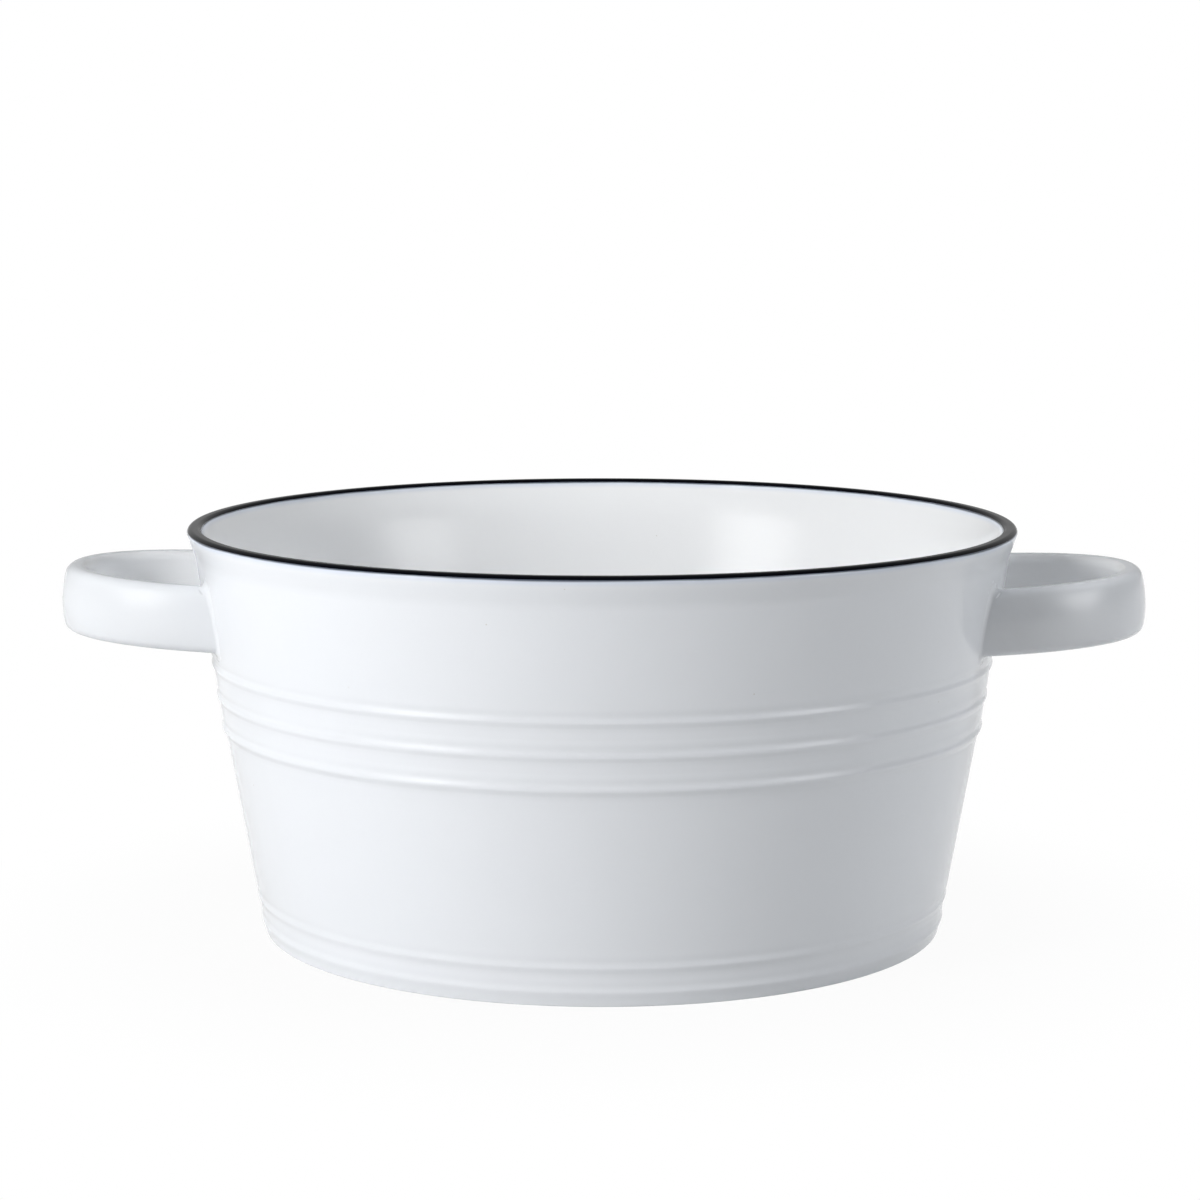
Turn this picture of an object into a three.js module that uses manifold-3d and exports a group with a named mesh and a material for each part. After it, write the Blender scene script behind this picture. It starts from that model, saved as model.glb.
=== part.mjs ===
// Two-handled porcelain serving bowl: a low bucket with a flared lip, a dark band fired over the lip,
// lapped lines round the wall and the base, and two strap handles luted on with slip.
// Millimetres, +Z up, origin on the bowl's axis at the table. The handles point along +X and -X.

import * as THREE from 'three';
import * as BufferGeometryUtils from 'three/addons/utils/BufferGeometryUtils.js';
import Module from 'manifold-3d';

// Bowl
const RIM_DIAMETER = 200;
const BOWL_HEIGHT = 98.6;
const BASE_DIAMETER = 168.6;
const WALL_THICKNESS = 4.3;
const UPPER_WALL_TAPER = THREE.MathUtils.degToRad(8.2);

// Lip
const LIP_THICKNESS = 3.6;
const LIP_EDGE_RADIUS = 1.3;
const LIP_FLARE = 1.9;
const LIP_HEIGHT = 6.8;
const LIP_CURVE_RADIUS = 9;

// Dark band on the lip
const BAND_THICKNESS = 0.35;
const BAND_DEPTH = 0.8;

// Lapped lines: each one steps in below its crest, in a shallow cove
const LAP_DEPTH = 0.38;
const LAP_HEIGHT = 1.55;
const LAP_CREST_RADIUS = 0.5;
const LAP_COVE_RADIUS = 6.5;
const HOOP_COUNT = 3;
const HOOP_PITCH = 7.65;
const HOOP_DROP = 4.65;
const BASE_LAP_HEIGHT = 9.4;

// Plinth below the last lapped line, with a fine step above the foot
const PLINTH_INSET = 0.9;
const FOOT_STEP_HEIGHT = 3.5;
const FOOT_STEP_DEPTH = 0.25;
const FOOT_STEP_DROP = 0.9;
const FOOT_COVE_RADIUS = 3;

// Foot and floor
const FOOT_WIDTH = 5;
const FOOT_EDGE_RADIUS = 0.6;
const FOOT_RECESS = 2;
const FLOOR_THICKNESS = 5;
const FLOOR_CORNER_RADIUS = 20;

// Handles
const HANDLE_SPAN = 262.6;
const HANDLE_DROP = 5.35;
const HANDLE_TILT = THREE.MathUtils.degToRad(2.85);
const STRAP_HEIGHT = 15.6;
const STRAP_THICKNESS = 6.2;
const STRAP_CROWN = 1;
const CROWN_SHARES = [-0.5, 0, 0.5];
const STRAP_EDGE_RADIUS = 2.4;
const LOOP_HALF_WIDTH = 32.5;
const LOOP_SQUARENESS = 2.22;
const LOOP_ROOT_DEPTH = 4;

// Luting slip at the handle feet
const SLIP_THICKNESS = 1.1;
const SLIP_FILLET = 2;
const SLIP_SWEEP = 1.6;
const SLIP_EDGE = 0.3;
const SEAT_GAP = 0.3;

// Facets
const TURN_SEGMENTS = 72;
const LOOP_STEPS = 40;
const ARC_STEPS = 2;
const STRAP_ARC_STEPS = 3;
const CREST_STEPS = 1;
const FLOOR_ARC_STEPS = 6;
const FILLET_STEPS = 4;
const MERGE_DISTANCE = 1e-4;

// Heights and radii that follow from the sizes above, from the lip down
const rimRadius = RIM_DIAMETER / 2;
const lipFoot = BOWL_HEIGHT - LIP_HEIGHT;
const strapTop = lipFoot - HANDLE_DROP;
const strapMiddle = strapTop - STRAP_HEIGHT / 2;
const firstHoop = strapTop - STRAP_HEIGHT - HOOP_DROP;
const lastHoop = firstHoop - (HOOP_COUNT - 1) * HOOP_PITCH;
const floorTop = FOOT_RECESS + FLOOR_THICKNESS;

// The upper wall is one cone from the lip to the last hoop, and every hoop's crest lies on it
function upperWallRadius(z) {
  return rimRadius - LIP_FLARE - (lipFoot - z) * Math.tan(UPPER_WALL_TAPER);
}

// The lower wall is a steeper cone from below the last hoop to the base
const lowerWallTop = lastHoop - LAP_HEIGHT;
const lowerWallTopRadius = upperWallRadius(lowerWallTop) - LAP_DEPTH;
const lowerWallSlope = (lowerWallTopRadius - BASE_DIAMETER / 2) / (lowerWallTop - BASE_LAP_HEIGHT);

function lowerWallRadius(z) {
  return BASE_DIAMETER / 2 + (z - BASE_LAP_HEIGHT) * lowerWallSlope;
}

// The plinth stands nearly straight, from below the base's lapped line down to the foot
const plinthRadius = BASE_DIAMETER / 2 - PLINTH_INSET;
const footOuter = plinthRadius - FOOT_STEP_DEPTH;

// A corner of an outline, rounded by an arc that touches both of its sides
function corner(x, y, radius = 0, steps = ARC_STEPS) {
  return { point: new THREE.Vector2(x, y), radius, steps };
}

function roundCorner(previous, { point, radius, steps }, next) {
  if (radius === 0) return [point];
  const toPrevious = previous.point.clone().sub(point).normalize();
  const toNext = next.point.clone().sub(point).normalize();
  const halfAngle = Math.acos(THREE.MathUtils.clamp(toPrevious.dot(toNext), -1, 1)) / 2;
  const bisector = toPrevious.clone().add(toNext).normalize();
  const centre = point.clone().addScaledVector(bisector, radius / Math.sin(halfAngle));
  const tangentLength = radius / Math.tan(halfAngle);
  const start = point.clone().addScaledVector(toPrevious, tangentLength).sub(centre);
  const end = point.clone().addScaledVector(toNext, tangentLength).sub(centre);
  const sweep = Math.atan2(start.cross(end), start.dot(end));
  return Array.from({ length: steps + 1 }, (_, step) => {
    const arm = start.clone().rotateAround(new THREE.Vector2(), sweep * step / steps);
    return centre.clone().add(arm);
  });
}

function roundOutline(corners, closed) {
  return corners.flatMap((current, index) => {
    const atEnd = index === 0 || index === corners.length - 1;
    if (atEnd && !closed) return [current.point];
    const previous = corners[(index + corners.length - 1) % corners.length];
    const next = corners[(index + 1) % corners.length];
    return roundCorner(previous, current, next);
  });
}

function revolve(outline) {
  return new THREE.LatheGeometry(outline, TURN_SEGMENTS).rotateX(Math.PI / 2);
}

// Solids from closed geometry, for cuts
const wasm = await Module();
wasm.setup();

function solid(geometry) {
  const bare = geometry.clone();
  bare.deleteAttribute('normal');
  bare.deleteAttribute('uv');
  const merged = BufferGeometryUtils.mergeVertices(bare, MERGE_DISTANCE);
  return new wasm.Manifold(new wasm.Mesh({
    numProp: 3,
    vertProperties: new Float32Array(merged.attributes.position.array),
    triVerts: new Uint32Array(merged.index.array),
  }));
}

function geometryOf(manifold) {
  const mesh = manifold.getMesh();
  const geometry = new THREE.BufferGeometry();
  geometry.setAttribute('position', new THREE.BufferAttribute(mesh.vertProperties, 3));
  geometry.setIndex(new THREE.BufferAttribute(mesh.triVerts, 1));
  geometry.computeVertexNormals();
  return geometry;
}

// Lip: its two edges are round, and the dark band fills a rebate over the top of both.
// The band starts where the edge is BAND_DEPTH below the top, and both pieces share the rebate's points.
const lipInnerRadius = rimRadius - LIP_THICKNESS;
const edgeCentreHeight = BOWL_HEIGHT - LIP_EDGE_RADIUS;
const bandAngle = Math.asin((LIP_EDGE_RADIUS - BAND_DEPTH) / LIP_EDGE_RADIUS);

function edgeArc(centreRadius, arcRadius, from, to) {
  return Array.from({ length: ARC_STEPS + 1 }, (_, step) => {
    const angle = THREE.MathUtils.lerp(from, to, step / ARC_STEPS);
    const r = centreRadius + arcRadius * Math.cos(angle);
    const z = edgeCentreHeight + arcRadius * Math.sin(angle);
    return new THREE.Vector2(r, z);
  });
}

function outerEdge(arcRadius, from, to) {
  return edgeArc(rimRadius - LIP_EDGE_RADIUS, arcRadius, from, to);
}

function innerEdge(arcRadius, from, to) {
  return edgeArc(lipInnerRadius + LIP_EDGE_RADIUS, arcRadius, from, to);
}

function overTheLip(inset) {
  const arcRadius = LIP_EDGE_RADIUS - inset;
  return [
    ...outerEdge(arcRadius, bandAngle, Math.PI / 2),
    ...innerEdge(arcRadius, Math.PI / 2, Math.PI - bandAngle),
  ];
}

function rimBand() {
  const outside = overTheLip(0);
  const seat = overTheLip(BAND_THICKNESS).reverse();
  return revolve([...outside, ...seat, outside[0]]);
}

// Body: from the axis under the foot, out, up the wall, over the lip and down the inside
function lap(wallRadius, crestHeight) {
  const rootHeight = crestHeight - LAP_HEIGHT;
  return [
    corner(wallRadius(rootHeight) - LAP_DEPTH, rootHeight, LAP_COVE_RADIUS),
    corner(wallRadius(crestHeight), crestHeight, LAP_CREST_RADIUS, CREST_STEPS),
  ];
}

function bowlBody() {
  const footInner = footOuter - FOOT_WIDTH;
  const hoops = Array.from({ length: HOOP_COUNT }, (_, index) => lastHoop + index * HOOP_PITCH);
  const underside = [
    corner(0, FOOT_RECESS),
    corner(footInner - FOOT_RECESS, FOOT_RECESS, FOOT_EDGE_RADIUS),
    corner(footInner, 0),
    corner(footOuter, 0, FOOT_EDGE_RADIUS),
  ];
  const wall = [
    corner(footOuter, FOOT_STEP_HEIGHT - FOOT_STEP_DROP, FOOT_COVE_RADIUS),
    corner(plinthRadius, FOOT_STEP_HEIGHT, LAP_CREST_RADIUS, CREST_STEPS),
    ...lap(lowerWallRadius, BASE_LAP_HEIGHT),
    ...hoops.flatMap((height) => lap(upperWallRadius, height)),
    corner(upperWallRadius(lipFoot), lipFoot, LIP_CURVE_RADIUS),
    corner(rimRadius, edgeCentreHeight),
  ];
  const inside = [
    corner(lipInnerRadius, edgeCentreHeight),
    corner(upperWallRadius(lipFoot) - WALL_THICKNESS, lipFoot, LIP_CURVE_RADIUS),
    corner(lowerWallRadius(floorTop) - WALL_THICKNESS, floorTop, FLOOR_CORNER_RADIUS, FLOOR_ARC_STEPS),
    corner(0, floorTop),
  ];
  const lip = [
    ...outerEdge(LIP_EDGE_RADIUS, 0, bandAngle).slice(1),
    ...overTheLip(BAND_THICKNESS),
    ...innerEdge(LIP_EDGE_RADIUS, Math.PI - bandAngle, Math.PI).slice(0, -1),
  ];
  return revolve([
    ...roundOutline([...underside, ...wall], false),
    ...lip,
    ...roundOutline(inside, false),
  ]);
}

// Handles: a strap with a crowned outer face, swept round a flat loop that stands out along +X
function strapSection(grow = 0) {
  const half = STRAP_THICKNESS / 2 + grow;
  const top = STRAP_HEIGHT / 2 + grow;
  const edge = STRAP_EDGE_RADIUS + grow;
  const crown = CROWN_SHARES.map((share) => corner(half - STRAP_CROWN * share ** 2, top * share));
  return roundOutline([
    corner(-half, -top, edge, STRAP_ARC_STEPS),
    corner(half - STRAP_CROWN, -top, edge, STRAP_ARC_STEPS),
    ...crown,
    corner(half - STRAP_CROWN, top, edge, STRAP_ARC_STEPS),
    corner(-half, top, edge, STRAP_ARC_STEPS),
  ], true);
}

function wallAcross(y, z) {
  return Math.sqrt(upperWallRadius(z) ** 2 - y ** 2);
}

const loopRoot = wallAcross(LOOP_HALF_WIDTH, strapMiddle) - LOOP_ROOT_DEPTH;
const loopReach = (HANDLE_SPAN / 2 - loopRoot) / Math.cos(HANDLE_TILT) - STRAP_THICKNESS / 2;

class HandleLoop extends THREE.Curve {
  getPoint(t, target = new THREE.Vector3()) {
    const angle = Math.PI * (0.5 - t);
    const power = 2 / LOOP_SQUARENESS;
    const out = Math.abs(Math.cos(angle)) ** power;
    const across = Math.sign(angle) * Math.abs(Math.sin(angle)) ** power;
    return target.set(loopReach * out, LOOP_HALF_WIDTH * across, 0);
  }
}

function loopHalfWidthAt(x) {
  const out = THREE.MathUtils.clamp((x - loopRoot) / loopReach, 0, 1);
  return LOOP_HALF_WIDTH * (1 - out ** LOOP_SQUARENESS) ** (1 / LOOP_SQUARENESS);
}

// The cone that the wall fills at the handles, grown outwards by a clearance
function wallCone(grow) {
  const low = strapMiddle - STRAP_HEIGHT;
  const high = strapMiddle + STRAP_HEIGHT;
  return solid(revolve([
    new THREE.Vector2(0, low),
    new THREE.Vector2(upperWallRadius(low) + grow, low),
    new THREE.Vector2(upperWallRadius(high) + grow, high),
    new THREE.Vector2(0, high),
  ]));
}

function handle() {
  const section = new THREE.Shape(strapSection().map(({ x, y }) => new THREE.Vector2(-y, x)));
  const strap = new THREE.ExtrudeGeometry(section, { extrudePath: new HandleLoop(), steps: LOOP_STEPS });
  strap.rotateY(-HANDLE_TILT);
  strap.translate(loopRoot, 0, strapMiddle);
  return geometryOf(solid(strap).subtract(wallCone(SLIP_THICKNESS + 2 * SEAT_GAP)));
}

// Slip: a cup that follows the wall, holds the handle's foot and ends in a hollow fillet round it.
// The fillet is tighter on the strap's outer face than round its edges and inner face.
function filletReach(outwards) {
  return THREE.MathUtils.lerp(SLIP_FILLET, SLIP_SWEEP, Math.max(outwards, 0));
}

function slipRing(side, offsets) {
  const grown = strapSection(1);
  return strapSection().map((point, index) => {
    const normal = grown[index].clone().sub(point);
    const { fromWall, fromStrap } = offsets(filletReach(normal.x));
    const out = wallAcross(LOOP_HALF_WIDTH, strapMiddle) + fromWall;
    const middle = strapMiddle + (out - loopRoot) * Math.tan(HANDLE_TILT);
    const y = loopHalfWidthAt(out) + point.x + fromStrap * normal.x;
    const z = middle + point.y + fromStrap * normal.y;
    return new THREE.Vector3(wallAcross(y, z) + fromWall, side * y, z);
  });
}

function middleOf(ring) {
  const sum = ring.reduce((total, point) => total.add(point), new THREE.Vector3());
  return sum.divideScalar(ring.length);
}

function loft(rings, flipped) {
  const count = rings[0].length;
  const points = [...rings.flat(), middleOf(rings[0]), middleOf(rings.at(-1))];
  const startCap = points.length - 2;
  const endCap = points.length - 1;
  const lastRing = (rings.length - 1) * count;
  const triangles = [];
  for (let index = 0; index < count; index += 1) {
    const next = (index + 1) % count;
    for (let ring = 0; ring < lastRing; ring += count) {
      triangles.push([ring + index, ring + next, ring + count + next]);
      triangles.push([ring + index, ring + count + next, ring + count + index]);
    }
    triangles.push([startCap, next, index]);
    triangles.push([endCap, lastRing + index, lastRing + next]);
  }
  const geometry = new THREE.BufferGeometry().setFromPoints(points);
  geometry.setIndex(triangles.flatMap((triangle) => (flipped ? triangle.reverse() : triangle)));
  geometry.computeVertexNormals();
  return geometry;
}

function slip(side) {
  const fillet = Array.from({ length: FILLET_STEPS + 1 }, (_, step) => {
    const angle = Math.PI / 2 * step / FILLET_STEPS;
    return slipRing(side, (reach) => ({
      fromWall: SEAT_GAP + reach * (1 - Math.cos(angle)),
      fromStrap: SEAT_GAP + SLIP_EDGE + reach * (1 - Math.sin(angle)),
    }));
  });
  const mouth = slipRing(side, (reach) => ({ fromWall: SEAT_GAP + reach, fromStrap: SEAT_GAP }));
  const seat = slipRing(side, () => ({ fromWall: SEAT_GAP + SLIP_THICKNESS, fromStrap: SEAT_GAP }));
  return loft([...fillet, mouth, seat], side < 0);
}

// Assembly
const porcelain = { color: 0xf4f5f7, roughness: 0.12, metalness: 0 };
const darkGlaze = { color: 0x0d1220, roughness: 0.2, metalness: 0 };

function piece(name, geometry, finish) {
  const mesh = new THREE.Mesh(geometry, new THREE.MeshStandardMaterial(finish));
  mesh.name = name;
  return mesh;
}

function handleGroup(name, turn, frontSide) {
  const group = new THREE.Group();
  group.rotation.z = turn;
  group.add(
    piece(`${name}_handle`, handle(), porcelain),
    piece(`${name}_front_slip`, slip(frontSide), porcelain),
    piece(`${name}_back_slip`, slip(-frontSide), porcelain),
  );
  return group;
}

const bowl = new THREE.Group();
bowl.add(
  piece('bowl_body', bowlBody(), porcelain),
  piece('rim_band', rimBand(), darkGlaze),
  handleGroup('right', 0, -1),
  handleGroup('left', Math.PI, 1),
);

export default bowl;
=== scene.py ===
"""Two-handled porcelain serving bowl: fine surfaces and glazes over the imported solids. Metres, +Z up."""

import math

import bpy
from mathutils import Matrix, Vector


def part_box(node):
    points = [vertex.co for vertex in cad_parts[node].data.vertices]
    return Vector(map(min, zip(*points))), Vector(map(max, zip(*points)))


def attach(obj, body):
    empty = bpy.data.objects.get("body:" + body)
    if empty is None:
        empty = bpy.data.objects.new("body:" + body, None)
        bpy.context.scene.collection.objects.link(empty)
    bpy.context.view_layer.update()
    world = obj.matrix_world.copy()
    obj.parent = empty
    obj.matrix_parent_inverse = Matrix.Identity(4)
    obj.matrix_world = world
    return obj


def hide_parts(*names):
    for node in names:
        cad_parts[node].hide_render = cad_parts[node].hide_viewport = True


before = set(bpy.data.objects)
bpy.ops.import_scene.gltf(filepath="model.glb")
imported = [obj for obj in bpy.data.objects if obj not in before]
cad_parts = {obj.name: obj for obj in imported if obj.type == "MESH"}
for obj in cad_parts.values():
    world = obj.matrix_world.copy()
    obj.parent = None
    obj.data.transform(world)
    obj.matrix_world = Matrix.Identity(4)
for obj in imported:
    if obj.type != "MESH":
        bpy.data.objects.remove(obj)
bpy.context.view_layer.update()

MM = 0.001
ALLOWANCE = 0.02 * MM
ON_AXIS = 0.001 * MM

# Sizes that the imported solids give
RIM_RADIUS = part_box("bowl_body")[1].y
BOWL_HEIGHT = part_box("rim_band")[1].z
HANDLE_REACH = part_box("right_handle")[1].x

# Wall
BASE_RADIUS = 84.3 * MM
WALL_THICKNESS = 4.3 * MM
UPPER_WALL_TAPER = math.radians(8.2)

# Lip and its dark band
LIP_THICKNESS = 3.6 * MM
LIP_EDGE_RADIUS = 1.3 * MM
LIP_FLARE = 1.9 * MM
LIP_FOOT = BOWL_HEIGHT - 6.8 * MM
LIP_CURVE_RADIUS = 13 * MM
LIP_CURVE_ROOM = LIP_CURVE_RADIUS / 4
INNER_LIP_CURVE_RADIUS = 24 * MM
BAND_DEPTH = 0.72 * MM
BAND_THICKNESS = 0.35 * MM

# Lapped lines: a faint groove, a bead at the crest and a shallow cove below it
HOOP_HEIGHTS = [50.9 * MM, 58.55 * MM, 66.2 * MM]
BASE_LAP_HEIGHT = 9.4 * MM
BASE_LAP_SHARE = 0.5
LAP_DEPTH = 0.38 * MM
LAP_ROOT_DROP = 1.55 * MM
COVE_DEPTH = 0.55 * MM
COVE_LENGTH = 1.4 * MM
BEAD_RISE = 0.19 * MM
BEAD_LENGTH = 0.6 * MM
GROOVE_DEPTH = 0.21 * MM
GROOVE_HEIGHT = 1.1 * MM
GROOVE_LENGTH = 0.9 * MM

# Plinth, foot and floor
PLINTH_INSET = 0.9 * MM
FOOT_STEP_HEIGHT = 3.5 * MM
FOOT_STEP_DEPTH = 0.25 * MM
FOOT_WIDTH = 5 * MM
FOOT_EDGE_RADIUS = 0.4 * MM
FOOT_EDGE_TOP = FOOT_EDGE_RADIUS * 1.5
FOOT_TUCK = 0.7 * MM
FOOT_RECESS = 2 * MM
FLOOR_TOP = 7 * MM
FLOOR_CORNER_RADIUS = 20 * MM

# Handles
STRAP_MIDDLE = 78.65 * MM
STRAP_HEIGHT = 15.6 * MM
STRAP_THICKNESS = 6.2 * MM
STRAP_CROWN = 1 * MM
STRAP_EDGE_RADIUS = 2.4 * MM
LOOP_HALF_WIDTH = 32.5 * MM
LOOP_SQUARENESS = 2.22
LOOP_ROOT_DEPTH = 4 * MM
HANDLE_TILT = math.radians(2.85)
FOOT_SINK = 2 * MM
FOOT_FIT_LENGTH = 6 * MM
INNER_FACING = 0.35

# Luting slip
SLIP_FILLET = 1.7 * MM
SLIP_SWEEP = 1.1 * MM
SLIP_OVERLAP = 0.6 * MM
SLIP_SINK = 0.008 * MM
SLIP_EDGE_SINK = 3 * SLIP_SINK
SLIP_ROOT_SINK = STRAP_EDGE_RADIUS / 4

# Fineness of the meshes
TURN_STEPS = 240
LONGEST_STRETCH = 2.4 * MM
LAP_REACH = 3.5 * MM
LAP_STEP = 0.3 * MM
CURVE_STEPS = 10
LONG_CURVE_STEPS = 28
LOOP_SAMPLES = 4000
LOOP_STEPS = 150
STRAP_CURVE_STEPS = 10
STRAP_FACE_STEPS = 16
FILLET_STEPS = 12


def upper_wall_radius(z):
    return RIM_RADIUS - LIP_FLARE - (LIP_FOOT - z) * math.tan(UPPER_WALL_TAPER)


LOWER_WALL_TOP = HOOP_HEIGHTS[0] - LAP_ROOT_DROP
LOWER_WALL_TOP_RADIUS = upper_wall_radius(LOWER_WALL_TOP) - LAP_DEPTH
LOWER_WALL_SLOPE = (LOWER_WALL_TOP_RADIUS - BASE_RADIUS) / (LOWER_WALL_TOP - BASE_LAP_HEIGHT)


def lower_wall_radius(z):
    return BASE_RADIUS + (z - BASE_LAP_HEIGHT) * LOWER_WALL_SLOPE


PLINTH_RADIUS = BASE_RADIUS - PLINTH_INSET
FOOT_OUTER = PLINTH_RADIUS - FOOT_STEP_DEPTH


# Outlines

def corner(x, y, radius=0.0, steps=CURVE_STEPS):
    return Vector((x, y)), radius, steps


def turned(arm, angle):
    return Vector((
        arm.x * math.cos(angle) - arm.y * math.sin(angle),
        arm.x * math.sin(angle) + arm.y * math.cos(angle),
    ))


def round_corner(previous, point, following, radius, steps):
    to_previous = (previous - point).normalized()
    to_following = (following - point).normalized()
    half_angle = to_previous.angle(to_following) / 2
    centre = point + (to_previous + to_following).normalized() * (radius / math.sin(half_angle))
    tangent = radius / math.tan(half_angle)
    start = point + to_previous * tangent - centre
    end = point + to_following * tangent - centre
    sweep = math.atan2(start.cross(end), start.dot(end))
    return [centre + turned(start, sweep * step / steps) for step in range(steps + 1)]


def round_outline(corners, closed=False):
    points = []
    for index, (point, radius, steps) in enumerate(corners):
        at_end = index in (0, len(corners) - 1) and not closed
        if at_end or radius == 0:
            points.append(point)
            continue
        previous = corners[index - 1][0]
        following = corners[(index + 1) % len(corners)][0]
        points += round_corner(previous, point, following, radius, steps)
    return points


def split_long_stretches(points):
    fine = [points[0]]
    for start, end in zip(points, points[1:]):
        pieces = max(1, math.ceil((end - start).length / LONGEST_STRETCH))
        fine += [start.lerp(end, piece / pieces) for piece in range(1, pieces + 1)]
    return fine


# Meshes

def add_piece(name, points, faces, material, node):
    mesh = bpy.data.meshes.new(name)
    mesh.from_pydata(points, [], faces)
    mesh.polygons.foreach_set("use_smooth", [True] * len(mesh.polygons))
    mesh.materials.append(material)
    mesh.validate()
    piece = bpy.data.objects.new(name, mesh)
    bpy.context.scene.collection.objects.link(piece)
    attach(piece, "root")
    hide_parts(node)
    return piece


def revolve(outline):
    points = []
    rings = []
    for r, z in outline:
        first = len(points)
        if r < ON_AXIS:
            points.append((0, 0, z))
            rings.append([first] * TURN_STEPS)
            continue
        for step in range(TURN_STEPS):
            angle = 2 * math.pi * step / TURN_STEPS
            points.append((r * math.cos(angle), r * math.sin(angle), z))
        rings.append(list(range(first, first + TURN_STEPS)))
    faces = []
    for low, high in zip(rings, rings[1:]):
        for step in range(TURN_STEPS):
            after = (step + 1) % TURN_STEPS
            face = [low[step], low[after], high[after], high[step]]
            faces.append(list(dict.fromkeys(face)))
    return points, faces


def loft(rings, flipped):
    """A skin over rings of points, with a fan of faces over each end."""
    count = len(rings[0])
    points = [point for ring in rings for point in ring]
    faces = []
    for ring in range(len(rings) - 1):
        for step in range(count):
            after = (step + 1) % count
            low = ring * count
            high = low + count
            faces.append([low + step, low + after, high + after, high + step])
    for ring, reverse in ((0, True), (len(rings) - 1, False)):
        middle = len(points)
        points.append(sum(rings[ring], Vector((0, 0, 0))) / count)
        for step in range(count):
            edge = [ring * count + step, ring * count + (step + 1) % count]
            faces.append([middle, *(reversed(edge) if reverse else edge)])
    if flipped:
        faces = [face[::-1] for face in faces]
    return points, faces


# Shader nodes

def add_node(tree, kind, **settings):
    node = tree.nodes.new(kind)
    for key, value in settings.items():
        setattr(node, key, value)
    return node


def coordinates(tree, kind="Object"):
    return add_node(tree, "ShaderNodeTexCoord").outputs[kind]


def noise(tree, place, scale, detail=2):
    node = add_node(tree, "ShaderNodeTexNoise")
    node.inputs["Scale"].default_value = scale
    node.inputs["Detail"].default_value = detail
    tree.links.new(place, node.inputs["Vector"])
    return node.outputs["Fac"]


def map_range(tree, value, source, target):
    node = add_node(tree, "ShaderNodeMapRange", interpolation_type="SMOOTHSTEP")
    node.inputs["From Min"].default_value = source[0]
    node.inputs["From Max"].default_value = source[1]
    node.inputs["To Min"].default_value = target[0]
    node.inputs["To Max"].default_value = target[1]
    tree.links.new(value, node.inputs["Value"])
    return node.outputs["Result"]


def combine(tree, operation, first, second):
    node = add_node(tree, "ShaderNodeMath", operation=operation)
    tree.links.new(first, node.inputs[0])
    tree.links.new(second, node.inputs[1])
    return node.outputs[0]


def along_axis(tree, vector, axis):
    node = add_node(tree, "ShaderNodeSeparateXYZ")
    tree.links.new(vector, node.inputs[0])
    return node.outputs[axis]


def length_of(tree, vector):
    node = add_node(tree, "ShaderNodeVectorMath", operation="LENGTH")
    tree.links.new(vector, node.inputs[0])
    return node.outputs["Value"]


def mix_colour(tree, share, first, second):
    node = add_node(tree, "ShaderNodeMix", data_type="RGBA")
    tree.links.new(share, node.inputs["Factor"])
    for name, colour in (("A", first), ("B", second)):
        socket = next(s for s in node.inputs if s.name == name and s.type == "RGBA")
        if isinstance(colour, tuple):
            socket.default_value = (*colour, 1)
        else:
            tree.links.new(colour, socket)
    return next(s for s in node.outputs if s.type == "RGBA")


def bump(tree, height, distance, normal=None):
    node = add_node(tree, "ShaderNodeBump")
    node.inputs["Distance"].default_value = distance
    tree.links.new(height, node.inputs["Height"])
    if normal:
        tree.links.new(normal, node.inputs["Normal"])
    return node.outputs["Normal"]


def show_mixed(tree, output_kind, share, first, second):
    """Ends a tree of nodes in a mix of two shaders."""
    mixed = add_node(tree, "ShaderNodeMixShader")
    tree.links.new(share, mixed.inputs["Fac"])
    tree.links.new(first.outputs[0], mixed.inputs[1])
    tree.links.new(second.outputs[0], mixed.inputs[2])
    output = add_node(tree, output_kind)
    tree.links.new(mixed.outputs[0], output.inputs["Surface"])


# Materials

def new_material(name):
    material = bpy.data.materials.new(name)
    material.use_nodes = True
    tree = material.node_tree
    shader = tree.nodes["Principled BSDF"]
    return material, tree, shader


NOISE_RANGE = (0.3, 0.7)

# Each glaze: its usual colour, its deeper patches and a darker, bluer colour in hollows
OUTER_GLAZE = ((0.868, 0.89, 0.922), (0.85, 0.874, 0.91), (0.73, 0.765, 0.81))
# The straps' glaze is a darker, greyer copy of the outer glaze: painted shade on the straps and their slip
# fillets.
SHADED_STRAP_GLAZE = ((0.815, 0.835, 0.863), (0.795, 0.818, 0.85), (0.69, 0.72, 0.76))
# The liner is a lighter, warmer copy of the glaze: painted light inside the bowl and on the straps' inner
# faces.
LIT_LINER_GLAZE = ((0.915, 0.922, 0.93), (0.9, 0.91, 0.92), (0.8, 0.82, 0.84))
GLAZE_IOR = 1.5
GLAZE_ROUGHNESS = (0.09, 0.14)
GLAZE_SHEEN_SCALE = 55
CLOUD_SCALE = 14
HOLLOW_POINTINESS = (0.40, 0.495)
HOLLOW_SHARE = (0.6, 0.0)

# Specks and the glaze's slight unevenness
GLAZE_SPECK = (0.60, 0.57, 0.52)
SPECK_SCALE = 90
SPECK_EDGE = (0.012, 0.022)
SPECK_SHARE = (0.55, 0.0)
PIT_DEPTH = 0.02 * MM
ROLL_SCALE = 26
ROLL_HEIGHT = 0.12 * MM
PEEL_SCALE = 480
PEEL_HEIGHT = 0.002 * MM

# What runs from the band into the clear glaze below it
BAND_BLEED = (0.02, 0.03, 0.06)
BLEED_DEPTH = 0.45 * MM
BLEED_SHARE = 0.9
BAND_TINT = (0.68, 0.77, 0.92)
TINT_DEPTH = 1.7 * MM
TINT_SHARE = 0.6
WANDER_SCALE = 40
WANDER_HEIGHT = 0.15 * MM


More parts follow.
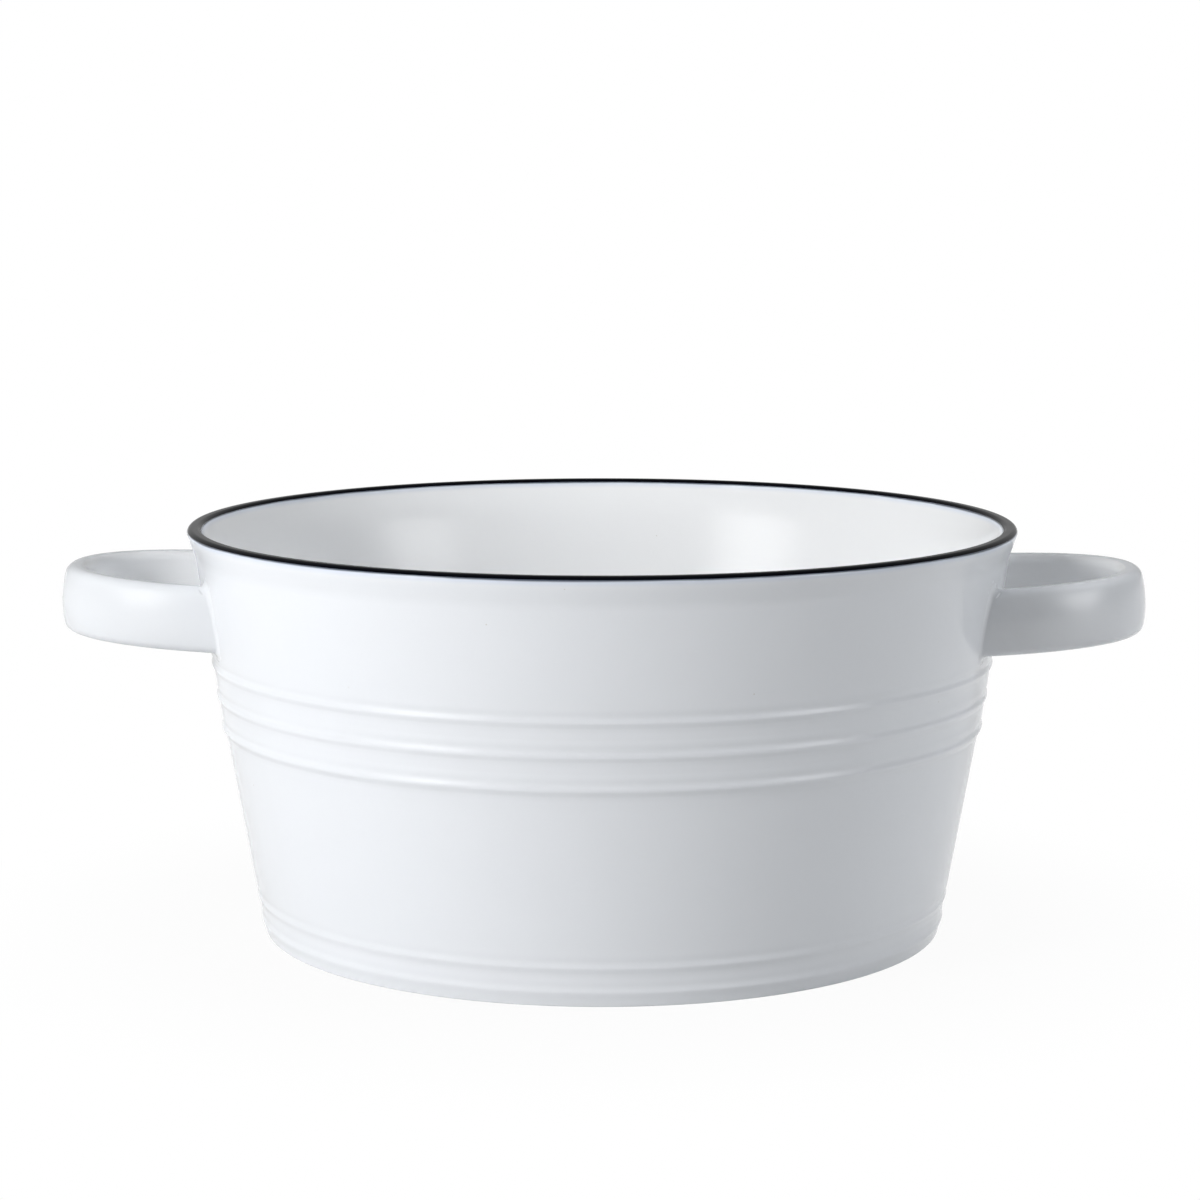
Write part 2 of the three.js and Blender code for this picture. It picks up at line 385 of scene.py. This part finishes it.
def below_band(tree, place, depth, most):
    """How far the band's colour has run into the clear glaze just below it, to a wandering edge."""
    pattern = noise(tree, place, WANDER_SCALE, detail=3)
    wander = map_range(tree, pattern, NOISE_RANGE, (0.0, WANDER_HEIGHT))
    raised = combine(tree, "ADD", along_axis(tree, place, "Z"), wander)
    band_edge = BOWL_HEIGHT - BAND_DEPTH
    return map_range(tree, raised, (band_edge - depth, band_edge), (0.0, most))


def glazed_porcelain(name, glaze):
    usual, deep, hollow_tone = glaze
    material, tree, shader = new_material(name)
    place = coordinates(tree)
    drift = mix_colour(tree, noise(tree, place, CLOUD_SCALE), usual, deep)
    pointiness = add_node(tree, "ShaderNodeNewGeometry").outputs["Pointiness"]
    # Hollows, found by pointiness, are darker and bluer.
    hollow = map_range(tree, pointiness, HOLLOW_POINTINESS, HOLLOW_SHARE)
    hollowed = mix_colour(tree, hollow, drift, hollow_tone)
    cells = add_node(tree, "ShaderNodeTexVoronoi")
    cells.inputs["Scale"].default_value = SPECK_SCALE
    tree.links.new(place, cells.inputs["Vector"])
    speck = map_range(tree, cells.outputs["Distance"], SPECK_EDGE, SPECK_SHARE)
    specked = mix_colour(tree, speck, hollowed, GLAZE_SPECK)
    tinted = mix_colour(tree, below_band(tree, place, TINT_DEPTH, TINT_SHARE), specked, BAND_TINT)
    bled = mix_colour(tree, below_band(tree, place, BLEED_DEPTH, BLEED_SHARE), tinted, BAND_BLEED)
    tree.links.new(bled, shader.inputs["Base Color"])
    sheen = noise(tree, place, GLAZE_SHEEN_SCALE, detail=4)
    tree.links.new(map_range(tree, sheen, NOISE_RANGE, GLAZE_ROUGHNESS), shader.inputs["Roughness"])
    rolling = bump(tree, noise(tree, place, ROLL_SCALE, detail=1), ROLL_HEIGHT)
    peel = bump(tree, noise(tree, place, PEEL_SCALE, detail=1), PEEL_HEIGHT, rolling)
    pits = bump(tree, speck, -PIT_DEPTH, peel)
    tree.links.new(pits, shader.inputs["Normal"])
    shader.inputs["IOR"].default_value = GLAZE_IOR
    return material


BAND_BLACK = (0.0008, 0.0008, 0.001)
BAND_NAVY = (0.002, 0.003, 0.006)
BAND_CLOUD_SCALE = 60
BAND_SHEEN = (0.74, 0.81, 1, 1)
BAND_SHEEN_LEVEL = 0.05
BAND_SHEEN_SCALE = 90
BAND_ROUGHNESS = (0.08, 0.14)
BAND_RIPPLE_SCALE = 300
BAND_RIPPLE_HEIGHT = 0.005 * MM


def band_glaze():
    material, tree, shader = new_material("band_glaze")
    place = coordinates(tree)
    body = mix_colour(tree, noise(tree, place, BAND_CLOUD_SCALE, detail=3), BAND_BLACK, BAND_NAVY)
    tree.links.new(body, shader.inputs["Base Color"])
    sheen = noise(tree, place, BAND_SHEEN_SCALE, detail=3)
    tree.links.new(map_range(tree, sheen, NOISE_RANGE, BAND_ROUGHNESS), shader.inputs["Roughness"])
    ripple = bump(tree, noise(tree, place, BAND_RIPPLE_SCALE), BAND_RIPPLE_HEIGHT)
    tree.links.new(ripple, shader.inputs["Normal"])
    shader.inputs["IOR"].default_value = GLAZE_IOR
    shader.inputs["Specular IOR Level"].default_value = BAND_SHEEN_LEVEL
    shader.inputs["Specular Tint"].default_value = BAND_SHEEN
    return material


BISCUIT = (0.80, 0.775, 0.735)
BISCUIT_SCUFFED = (0.66, 0.645, 0.62)
BISCUIT_ROUGHNESS = 0.75
SCUFF_SCALE = 120
SCUFF_RANGE = (0.45, 0.75)
SCUFF_SHARE = (0.0, 0.8)
GRAIN_SCALE = 2600
GRAIN_HEIGHT = 0.02 * MM


def bare_biscuit():
    material, tree, shader = new_material("bare_biscuit")
    place = coordinates(tree)
    scuffs = map_range(tree, noise(tree, place, SCUFF_SCALE, detail=6), SCUFF_RANGE, SCUFF_SHARE)
    tree.links.new(mix_colour(tree, scuffs, BISCUIT, BISCUIT_SCUFFED), shader.inputs["Base Color"])
    shader.inputs["Roughness"].default_value = BISCUIT_ROUGHNESS
    grain = bump(tree, noise(tree, place, GRAIN_SCALE, detail=4), GRAIN_HEIGHT)
    tree.links.new(grain, shader.inputs["Normal"])
    return material


# Lip and band

EDGE_CENTRE_HEIGHT = BOWL_HEIGHT - LIP_EDGE_RADIUS
LIP_INNER_RADIUS = RIM_RADIUS - LIP_THICKNESS
BAND_ANGLE = math.asin((LIP_EDGE_RADIUS - BAND_DEPTH) / LIP_EDGE_RADIUS)


def edge_arc(centre_radius, arc_radius, start, end):
    points = []
    for step in range(CURVE_STEPS + 1):
        angle = start + (end - start) * step / CURVE_STEPS
        out = arc_radius * math.cos(angle)
        points.append(Vector((centre_radius + out, EDGE_CENTRE_HEIGHT + arc_radius * math.sin(angle))))
    return points


def outer_edge(arc_radius, start, end):
    return edge_arc(RIM_RADIUS - LIP_EDGE_RADIUS, arc_radius, start, end)


def inner_edge(arc_radius, start, end):
    return edge_arc(LIP_INNER_RADIUS + LIP_EDGE_RADIUS, arc_radius, start, end)


def over_the_lip(inset):
    arc_radius = LIP_EDGE_RADIUS - inset
    outside = outer_edge(arc_radius, BAND_ANGLE, math.pi / 2)
    inside = inner_edge(arc_radius, math.pi / 2, math.pi - BAND_ANGLE)
    return outside + inside


def rim_band(glaze):
    outside = over_the_lip(0)
    seat = over_the_lip(BAND_THICKNESS)[::-1]
    outline = split_long_stretches(outside + seat + outside[:1])
    points, faces = revolve(outline)
    add_piece("band_on_lip", points, faces, glaze, "rim_band")


# Body

def graded_heights(low, high):
    """Heights from one crest to the next, closer together near them."""
    heights = []
    z = low
    while z < high - LAP_STEP / 2:
        heights.append(z)
        near_crest = min(z - low, high - z) < LAP_REACH
        z += LAP_STEP if near_crest else LONGEST_STRETCH
    return heights


def swell(distance, length):
    return math.exp(-(distance / length) ** 2)


def lapped_wall():
    """The outside from the foot to the lip's foot: straight stretches between crests, and their relief."""
    laps = [
        (0.0, FOOT_OUTER - FOOT_TUCK, 0.0, 0.0),
        (FOOT_STEP_HEIGHT, PLINTH_RADIUS, FOOT_STEP_DEPTH, BASE_LAP_SHARE),
        (BASE_LAP_HEIGHT, BASE_RADIUS, COVE_DEPTH, BASE_LAP_SHARE),
    ]
    laps += [(height, upper_wall_radius(height), COVE_DEPTH, 1.0) for height in HOOP_HEIGHTS]
    stop = LIP_FOOT - LIP_CURVE_ROOM
    laps.append((stop, upper_wall_radius(stop), 0.0, 0.0))
    corners = []
    for (low, low_radius, _, low_share), (high, high_radius, cove, high_share) in zip(laps, laps[1:]):
        for z in graded_heights(low, high):
            radius = low_radius + (high_radius - cove - low_radius) * (z - low) / (high - low)
            radius += (cove + high_share * BEAD_RISE) * swell(high - z, COVE_LENGTH)
            radius += low_share * BEAD_RISE * swell(z - low, BEAD_LENGTH)
            radius -= low_share * GROOVE_DEPTH * swell(z - low - GROOVE_HEIGHT, GROOVE_LENGTH)
            if z > FOOT_EDGE_TOP:
                corners.append(corner(radius, z))
    return corners


def body_outline():
    foot_inner = FOOT_OUTER - FOOT_WIDTH
    underside = [
        corner(0, FOOT_RECESS),
        corner(foot_inner - FOOT_RECESS, FOOT_RECESS, FOOT_EDGE_RADIUS),
        corner(foot_inner, 0, FOOT_EDGE_RADIUS),
        corner(FOOT_OUTER - FOOT_TUCK, 0, FOOT_EDGE_RADIUS),
    ]
    wall = lapped_wall()
    wall += [
        corner(upper_wall_radius(LIP_FOOT), LIP_FOOT, LIP_CURVE_RADIUS),
        corner(RIM_RADIUS, EDGE_CENTRE_HEIGHT),
    ]
    lip = outer_edge(LIP_EDGE_RADIUS, 0, BAND_ANGLE)[1:]
    lip += over_the_lip(BAND_THICKNESS)
    lip += inner_edge(LIP_EDGE_RADIUS, math.pi - BAND_ANGLE, math.pi)[:-1]
    lip_inside = upper_wall_radius(LIP_FOOT) - WALL_THICKNESS
    floor_edge = lower_wall_radius(FLOOR_TOP) - WALL_THICKNESS
    inside = [
        corner(LIP_INNER_RADIUS, EDGE_CENTRE_HEIGHT),
        corner(lip_inside, LIP_FOOT, INNER_LIP_CURVE_RADIUS, LONG_CURVE_STEPS),
        corner(floor_edge, FLOOR_TOP, FLOOR_CORNER_RADIUS, LONG_CURVE_STEPS),
        corner(0, FLOOR_TOP),
    ]
    outline = split_long_stretches(round_outline(underside + wall) + lip + round_outline(inside))
    return [Vector((point.x, max(point.y, 0))) for point in outline]


LIT_LINER_INDEX = 1
BISCUIT_INDEX = 2


def is_inside(point):
    wall = upper_wall_radius(point.z) if point.z > LOWER_WALL_TOP else lower_wall_radius(point.z)
    return point.z > FLOOR_TOP - ALLOWANCE and point.xy.length < wall - WALL_THICKNESS / 2


def bowl_body(glaze, lit_liner, biscuit):
    points, faces = revolve(body_outline())
    piece = add_piece("glazed_bowl", points, faces, glaze, "bowl_body")
    piece.data.materials.append(lit_liner)
    piece.data.materials.append(biscuit)
    # Faces inside the bowl take the lighter liner glaze, which paints light there; the underside takes the
    # bare biscuit.
    for face in piece.data.polygons:
        if is_inside(face.center):
            face.material_index = LIT_LINER_INDEX
        if face.center.z < ALLOWANCE:
            face.material_index = BISCUIT_INDEX


# Handles

def wall_across(y, z):
    return math.sqrt(upper_wall_radius(z) ** 2 - y ** 2)


LOOP_ROOT = wall_across(LOOP_HALF_WIDTH, STRAP_MIDDLE) - LOOP_ROOT_DEPTH
LEAN = STRAP_HEIGHT / 2 * math.sin(HANDLE_TILT)
LEAN_GAIN = LEAN ** 2 / (4 * STRAP_CROWN * math.cos(HANDLE_TILT)) + ALLOWANCE
LOOP_REACH = (HANDLE_REACH - LOOP_ROOT - LEAN_GAIN) / math.cos(HANDLE_TILT) - STRAP_THICKNESS / 2
LOOP_MIDDLE = LOOP_ROOT + LOOP_REACH / 3


def strap_section(grow=0.0):
    half = STRAP_THICKNESS / 2 + grow
    top = STRAP_HEIGHT / 2 + grow
    edge = STRAP_EDGE_RADIUS + grow
    crown = []
    for step in range(1, STRAP_FACE_STEPS):
        share = 2 * step / STRAP_FACE_STEPS - 1
        if abs(share) * top < top - edge:
            crown.append(corner(half - STRAP_CROWN * share ** 2, top * share))
    return round_outline([
        corner(-half, -top, edge, STRAP_CURVE_STEPS),
        corner(half - STRAP_CROWN, -top, edge, STRAP_CURVE_STEPS),
        *crown,
        corner(half - STRAP_CROWN, top, edge, STRAP_CURVE_STEPS),
        corner(-half, top, edge, STRAP_CURVE_STEPS),
    ], closed=True)


def loop_point(angle):
    power = 2 / LOOP_SQUARENESS
    out = abs(math.cos(angle)) ** power
    across = math.copysign(abs(math.sin(angle)) ** power, angle)
    return Vector((LOOP_REACH * out, LOOP_HALF_WIDTH * across))


def loop_half_width(x):
    out = min(max((x - LOOP_ROOT) / LOOP_REACH, 0), 1)
    return LOOP_HALF_WIDTH * (1 - out ** LOOP_SQUARENESS) ** (1 / LOOP_SQUARENESS)


def even_loop():
    """Points at even steps along the loop's middle line, and its length."""
    dense = [loop_point(math.pi * (0.5 - step / LOOP_SAMPLES)) for step in range(LOOP_SAMPLES + 1)]
    run = [0.0]
    for start, end in zip(dense, dense[1:]):
        run.append(run[-1] + (end - start).length)
    points = []
    index = 0
    for step in range(LOOP_STEPS + 1):
        target = run[-1] * step / LOOP_STEPS
        while index < len(run) - 2 and run[index + 1] < target:
            index += 1
        share = (target - run[index]) / (run[index + 1] - run[index])
        points.append(dense[index].lerp(dense[index + 1], share))
    return points, run[-1]


def strap_rings():
    """Sections of the strap round its loop, whose two ends are drawn to the curve of the wall."""
    centres, length = even_loop()
    section = strap_section()
    tilt = Matrix.Rotation(-HANDLE_TILT, 3, "Y")
    rings = []
    for index, centre in enumerate(centres):
        before = centres[max(index - 1, 0)]
        after = centres[min(index + 1, LOOP_STEPS)]
        along = (after - before).normalized()
        outwards = Vector((-along.y, along.x))
        ring = []
        for point in section:
            flat = centre + outwards * point.x
            ring.append(tilt @ Vector((*flat, point.y)) + Vector((LOOP_ROOT, 0, STRAP_MIDDLE)))
        run = min(index, LOOP_STEPS - index) * length / LOOP_STEPS
        hold = max(0.0, 1 - run / FOOT_FIT_LENGTH)
        for point in ring:
            seat = wall_across(point.y, point.z) - FOOT_SINK
            point.x += hold * (seat - LOOP_ROOT)
        rings.append(ring)
    return rings


def fillet_reach(outwards):
    return SLIP_FILLET + (SLIP_SWEEP - SLIP_FILLET) * max(outwards, 0)


def slip_ring(side, offsets):
    section = strap_section()
    grown = strap_section(MM)
    ring = []
    for point, far in zip(section, grown):
        normal = (far - point) / MM
        from_wall, from_strap = offsets(fillet_reach(normal.x))
        out = wall_across(LOOP_HALF_WIDTH, STRAP_MIDDLE) + from_wall
        middle = STRAP_MIDDLE + (out - LOOP_ROOT) * math.tan(HANDLE_TILT)
        y = loop_half_width(out) + point.x + from_strap * normal.x
        z = middle + point.y + from_strap * normal.y
        ring.append(Vector((wall_across(y, z) + from_wall, side * y, z)))
    return ring


def slip_rings(side):
    """A fillet between the strap and the wall, whose two edges run on just under their surfaces."""
    inside = -FOOT_SINK / 2
    rings = [
        slip_ring(side, lambda reach: (inside, reach + SLIP_OVERLAP)),
        slip_ring(side, lambda reach: (-SLIP_SINK, reach + SLIP_OVERLAP)),
    ]
    for step in range(FILLET_STEPS + 1):
        angle = math.pi / 2 * step / FILLET_STEPS
        rings.append(slip_ring(side, lambda reach: (
            reach * (1 - math.cos(angle)) - SLIP_SINK,
            reach * (1 - math.sin(angle)) - SLIP_SINK,
        )))
    rings.append(slip_ring(side, lambda reach: (reach + SLIP_OVERLAP, -SLIP_EDGE_SINK)))
    rings.append(slip_ring(side, lambda reach: (inside, -SLIP_ROOT_SINK)))
    return rings


def swung(points, turn):
    rotation = Matrix.Rotation(turn, 3, "Z")
    return [rotation @ Vector(point) for point in points]


def handle(name, turn, front_side, glaze, lit_liner):
    points, faces = loft(strap_rings(), flipped=False)
    strap = add_piece(f"{name}_strap", swung(points, turn), faces, glaze, f"{name}_handle")
    strap.data.materials.append(lit_liner)
    # The strap's inner faces take the lighter liner glaze, which paints light there.
    middle, = swung([(LOOP_MIDDLE, 0, STRAP_MIDDLE)], turn)
    for face in strap.data.polygons:
        outwards = (face.center - middle).xy.normalized()
        if face.normal.xy.dot(outwards) < -INNER_FACING:
            face.material_index = LIT_LINER_INDEX
    for end, side in (("front", front_side), ("back", -front_side)):
        points, faces = loft(slip_rings(side), flipped=side < 0)
        node = f"{name}_{end}_slip"
        add_piece(f"{name}_{end}_fillet", swung(points, turn), faces, glaze, node)


# Floor and room

WHITE = (1, 1, 1, 1)
FLOOR_SIZE = 12.0
FLOOR_COLOUR = (0.63, 0.63, 0.63, 1)
FLOOR_IN_GLAZE = (0.05, 0.8)
FLOOR_EDGE = (-0.51, -0.46)
SHADOW_SHARE = 0.05
SHADOW_FADE = (0.085, 0.17)


def backdrop_share(tree, in_glaze):
    """How far a ray sees the white backdrop: fully from the camera or through glass, less in a glaze."""
    path = add_node(tree, "ShaderNodeLightPath")
    straight = combine(tree, "MAXIMUM", path.outputs["Is Camera Ray"], path.outputs["Is Transmission Ray"])
    mirrored = combine(tree, "MULTIPLY", path.outputs["Is Glossy Ray"], in_glaze)
    return combine(tree, "MAXIMUM", straight, mirrored)


def white_floor():
    """A white floor that keeps a faint shadow, and that a glaze mirrors up to an edge in front."""
    material = bpy.data.materials.new("white_floor")
    material.use_nodes = True
    tree = material.node_tree
    tree.nodes.clear()
    lit = add_node(tree, "ShaderNodeBsdfDiffuse")
    lit.inputs["Color"].default_value = FLOOR_COLOUR
    white = add_node(tree, "ShaderNodeEmission")
    white.inputs["Color"].default_value = WHITE
    place = coordinates(tree)
    fade = map_range(tree, length_of(tree, place), SHADOW_FADE, (1 - SHADOW_SHARE, 1.0))
    in_glaze = map_range(tree, along_axis(tree, place, "Y"), FLOOR_EDGE, FLOOR_IN_GLAZE)
    share = combine(tree, "MULTIPLY", fade, backdrop_share(tree, in_glaze))
    show_mixed(tree, "ShaderNodeOutputMaterial", share, lit, white)
    return material


def add_floor():
    half = FLOOR_SIZE / 2
    corners = [(-half, -half, 0), (half, -half, 0), (half, half, 0), (-half, half, 0)]
    mesh = bpy.data.meshes.new("floor")
    mesh.from_pydata(corners, [], [(0, 1, 2, 3)])
    mesh.materials.append(white_floor())
    floor = bpy.data.objects.new("floor", mesh)
    bpy.context.scene.collection.objects.link(floor)


AMBIENT = 0.01
ROOM_IN_GLAZE = (0.03, 0.42)
ROOM_FRONT_TO_BACK = (-0.6, 0.6)


def add_world():
    """A white backdrop, which a glaze mirrors as a room that is darker in front than behind."""
    world = bpy.data.worlds.new("studio")
    bpy.context.scene.world = world
    world.use_nodes = True
    tree = world.node_tree
    tree.nodes.clear()
    fill = add_node(tree, "ShaderNodeBackground")
    fill.inputs["Strength"].default_value = AMBIENT
    white = add_node(tree, "ShaderNodeBackground")
    for background in (fill, white):
        background.inputs["Color"].default_value = WHITE
    direction = coordinates(tree, "Generated")
    room = map_range(tree, along_axis(tree, direction, "Y"), ROOM_FRONT_TO_BACK, ROOM_IN_GLAZE)
    show_mixed(tree, "ShaderNodeOutputWorld", backdrop_share(tree, room), fill, white)


# Lamps and camera

LAMP_TARGET = Vector((0, 0, 0.06))
LAMP_DISTANCE = 1.2
LAMP_CENTRE = (0.5, 0.5, 0)
SOFT_EDGE = (0.52, 0.05)
SOFT_GLOW = 3.2
PLAIN = (1, 1, 1)
COOL = (0.95, 0.972, 1)
SEEN_IN_GLAZE = ("left_low", "right_low")

# Softboxes: azimuth and elevation in degrees, width, height, power in watts, colour
SOFTBOXES = {
    "key": (-47, 25, 0.6, 0.6, 9.3, PLAIN),
    "left_low": (-50, 9, 1.0, 0.65, 2.3, PLAIN),
    "left_high": (-60, 52, 0.55, 0.55, 0.7, PLAIN),
    "left_side": (-76, 25, 0.55, 0.55, 0.9, PLAIN),
    "right_front": (76, 20, 0.55, 0.45, 1.3, COOL),
    "right_low": (64, 9, 0.9, 0.6, 1.6, PLAIN),
    "right_side": (85, 45, 0.55, 0.45, 2.5, COOL),
    "right_back": (100, 20, 0.55, 0.45, 0.8, COOL),
    "back": (178, 14, 0.9, 0.5, 4.2, PLAIN),
    "top": (0, 88, 0.8, 0.8, 2.9, COOL),
}


def soften_edges(lamp):
    """Light that fades from the middle of a softbox to its edges."""
    lamp.use_nodes = True
    tree = lamp.node_tree
    emission = tree.nodes["Emission"]
    across = add_node(tree, "ShaderNodeNewGeometry").outputs["Parametric"]
    centred = add_node(tree, "ShaderNodeVectorMath", operation="SUBTRACT")
    centred.inputs[1].default_value = LAMP_CENTRE
    tree.links.new(across, centred.inputs[0])
    from_centre = length_of(tree, centred.outputs["Vector"])
    glow = map_range(tree, from_centre, SOFT_EDGE, (0.0, SOFT_GLOW))
    tree.links.new(glow, emission.inputs["Strength"])


def add_softbox(name, azimuth, elevation, width, height, power, colour):
    turn = math.radians(azimuth)
    rise = math.radians(elevation)
    direction = Vector((
        math.sin(turn) * math.cos(rise),
        -math.cos(turn) * math.cos(rise),
        math.sin(rise),
    ))
    lamp = bpy.data.lights.new(name, "AREA")
    lamp.shape = "RECTANGLE"
    lamp.size = width
    lamp.size_y = height
    lamp.energy = power
    lamp.color = colour
    soften_edges(lamp)
    softbox = bpy.data.objects.new(name, lamp)
    softbox.visible_camera = False
    softbox.visible_glossy = name in SEEN_IN_GLAZE
    softbox.location = LAMP_TARGET + LAMP_DISTANCE * direction
    softbox.rotation_euler = (-direction).to_track_quat("-Z", "Y").to_euler()
    bpy.context.scene.collection.objects.link(softbox)


def add_lamps():
    for name, settings in SOFTBOXES.items():
        add_softbox(name, *settings)


CAMERA_PLACE = Vector((-0.53 * MM, -771.6 * MM, 190.7 * MM))
CAMERA_PITCH = math.radians(8.219)
CAMERA_TURN = math.radians(1.65)
CAMERA_LENS = 96.06


def add_camera():
    camera = bpy.data.cameras.new("camera")
    camera.lens = CAMERA_LENS
    holder = bpy.data.objects.new("camera", camera)
    holder.location = Matrix.Rotation(CAMERA_TURN, 3, "Z") @ CAMERA_PLACE
    holder.rotation_euler = (math.pi / 2 - CAMERA_PITCH, 0, CAMERA_TURN)
    bpy.context.scene.collection.objects.link(holder)
    bpy.context.scene.camera = holder


def main():
    outer = glazed_porcelain("outer_glaze", OUTER_GLAZE)
    lit_liner = glazed_porcelain("lit_liner_glaze", LIT_LINER_GLAZE)
    bowl_body(outer, lit_liner, bare_biscuit())
    rim_band(band_glaze())
    # The straps and fillets get the darker copy of the glaze, which paints their shade.
    strap = glazed_porcelain("shaded_strap_glaze", SHADED_STRAP_GLAZE)
    handle("right", 0, -1, strap, lit_liner)
    handle("left", math.pi, 1, strap, lit_liner)
    add_floor()
    add_world()
    add_lamps()
    add_camera()
    bpy.context.scene.view_settings.view_transform = "Standard"


main()
